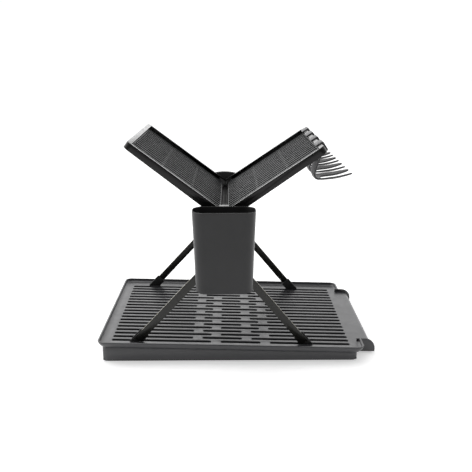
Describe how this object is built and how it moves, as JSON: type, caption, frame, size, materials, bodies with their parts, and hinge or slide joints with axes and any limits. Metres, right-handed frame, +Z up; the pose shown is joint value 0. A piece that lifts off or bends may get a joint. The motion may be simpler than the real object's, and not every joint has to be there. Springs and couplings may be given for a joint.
{
  "type": "folding dish drying rack",
  "caption": "Slatted wings that open into a V above crossed legs on a sloping drip tray with a spout, a hanging cutlery cup and clip-on glass hooks.",
  "frame": {"origin": "bottom centre of the whole object, on the table under the tray's pads", "axes": "+X along the tray towards its spout, +Y from the cutlery holder's side to the back, +Z up"},
  "size_m": [0.5272, 0.4264, 0.4114],
  "materials": {
    "tray_plastic": "fine satin moulded plastic, anthracite",
    "rack_plastic": "satin moulded plastic, near black",
    "slat_plastic": "fine satin moulded plastic, anthracite",
    "holder_plastic": "satin moulded plastic, anthracite",
    "hook_plastic": "satin moulded plastic, dark grey",
    "leg_steel": "satin black powder coat on flat steel strip",
    "spine": "satin black powder coat on steel tube",
    "bare_steel": "plain zinc plate",
    "rubber": "matt black rubber"
  },
  "bodies": {
    "tray": {"drip_tray": "tray_plastic", "tray_base": "tray_plastic", "pad_front_left": "rubber", "pad_front_right": "rubber", "pad_rear_left": "rubber", "pad_rear_right": "rubber"},
    "rack": {"hub_front": "rack_plastic", "hub_rear": "rack_plastic", "spine_tube": "spine", "spine_screw_front": "bare_steel", "spine_screw_rear": "bare_steel", "leg_rivet_front": "bare_steel", "leg_rivet_rear": "bare_steel", "wing_pin_front_left": "bare_steel", "wing_pin_front_right": "bare_steel", "wing_pin_rear_left": "bare_steel", "wing_pin_rear_right": "bare_steel"},
    "wing_left": {"wing_frame_left": "rack_plastic", "slat_grid_left": "slat_plastic"},
    "wing_right": {"wing_frame_right": "rack_plastic", "slat_grid_right": "slat_plastic"},
    "leg_front_left": {"leg_front_left": "leg_steel", "boot_front_left": "rubber"},
    "leg_front_right": {"leg_front_right": "leg_steel", "boot_front_right": "rubber"},
    "leg_rear_left": {"leg_rear_left": "leg_steel", "boot_rear_left": "rubber"},
    "leg_rear_right": {"leg_rear_right": "leg_steel", "boot_rear_right": "rubber"},
    "holder": {"cutlery_holder": "holder_plastic"},
    "hook_1": {"glass_hook_1": "hook_plastic"},
    "hook_2": {"glass_hook_2": "hook_plastic"},
    "hook_3": {"glass_hook_3": "hook_plastic"},
    "hook_4": {"glass_hook_4": "hook_plastic"}
  },
  "joints": [
    {"name": "rack_lift", "type": "slide", "parent": "tray", "child": "rack", "axis": [0, 0, 1], "range_m": [0, 0.12]},
    {"name": "fold", "type": "hinge", "parent": "rack", "child": "wing_left", "pos_m": [-0.04076, 0.02325, 0.28369], "axis": [0, 1, 0], "range_deg": [0, 53.5]},
    {"name": "wing_right_fold", "type": "hinge", "parent": "rack", "child": "wing_right", "pos_m": [-0.01077, 0.02325, 0.28291], "axis": [0, -1, 0], "range_deg": [0, 54]},
    {"name": "leg_front_left_fold", "type": "hinge", "parent": "rack", "child": "leg_front_left", "pos_m": [-0.0276, 0.02325, 0.21292], "axis": [0, -1, 0], "range_deg": [0, 37]},
    {"name": "leg_front_right_fold", "type": "hinge", "parent": "rack", "child": "leg_front_right", "pos_m": [-0.0276, 0.02325, 0.21292], "axis": [0, 1, 0], "range_deg": [0, 37]},
    {"name": "leg_rear_left_fold", "type": "hinge", "parent": "rack", "child": "leg_rear_left", "pos_m": [-0.0276, 0.02325, 0.21292], "axis": [0, -1, 0], "range_deg": [0, 37]},
    {"name": "leg_rear_right_fold", "type": "hinge", "parent": "rack", "child": "leg_rear_right", "pos_m": [-0.0276, 0.02325, 0.21292], "axis": [0, 1, 0], "range_deg": [0, 37]},
    {"name": "holder_lift", "type": "slide", "parent": "rack", "child": "holder", "axis": [0, 0, 1], "range_m": [0, 0.06]},
    {"name": "hook_1_slide", "type": "slide", "parent": "wing_right", "child": "hook_1", "axis": [0.8309, 0, 0.5565], "range_m": [0, 0.04]},
    {"name": "hook_2_slide", "type": "slide", "parent": "wing_right", "child": "hook_2", "axis": [0.8309, 0, 0.5565], "range_m": [0, 0.04]},
    {"name": "hook_3_slide", "type": "slide", "parent": "wing_right", "child": "hook_3", "axis": [0.8309, 0, 0.5565], "range_m": [0, 0.04]},
    {"name": "hook_4_slide", "type": "slide", "parent": "wing_right", "child": "hook_4", "axis": [0.8309, 0, 0.5565], "range_m": [0, 0.04]}
  ],
  "couplings": [
    {"joint": "rack_lift", "follows": "fold", "m_per_rad": 0.125},
    {"joint": "wing_right_fold", "follows": "fold", "ratio": 1},
    {"joint": "leg_front_left_fold", "follows": "fold", "ratio": 0.682},
    {"joint": "leg_front_right_fold", "follows": "fold", "ratio": 0.682},
    {"joint": "leg_rear_left_fold", "follows": "fold", "ratio": 0.682},
    {"joint": "leg_rear_right_fold", "follows": "fold", "ratio": 0.682}
  ]
}
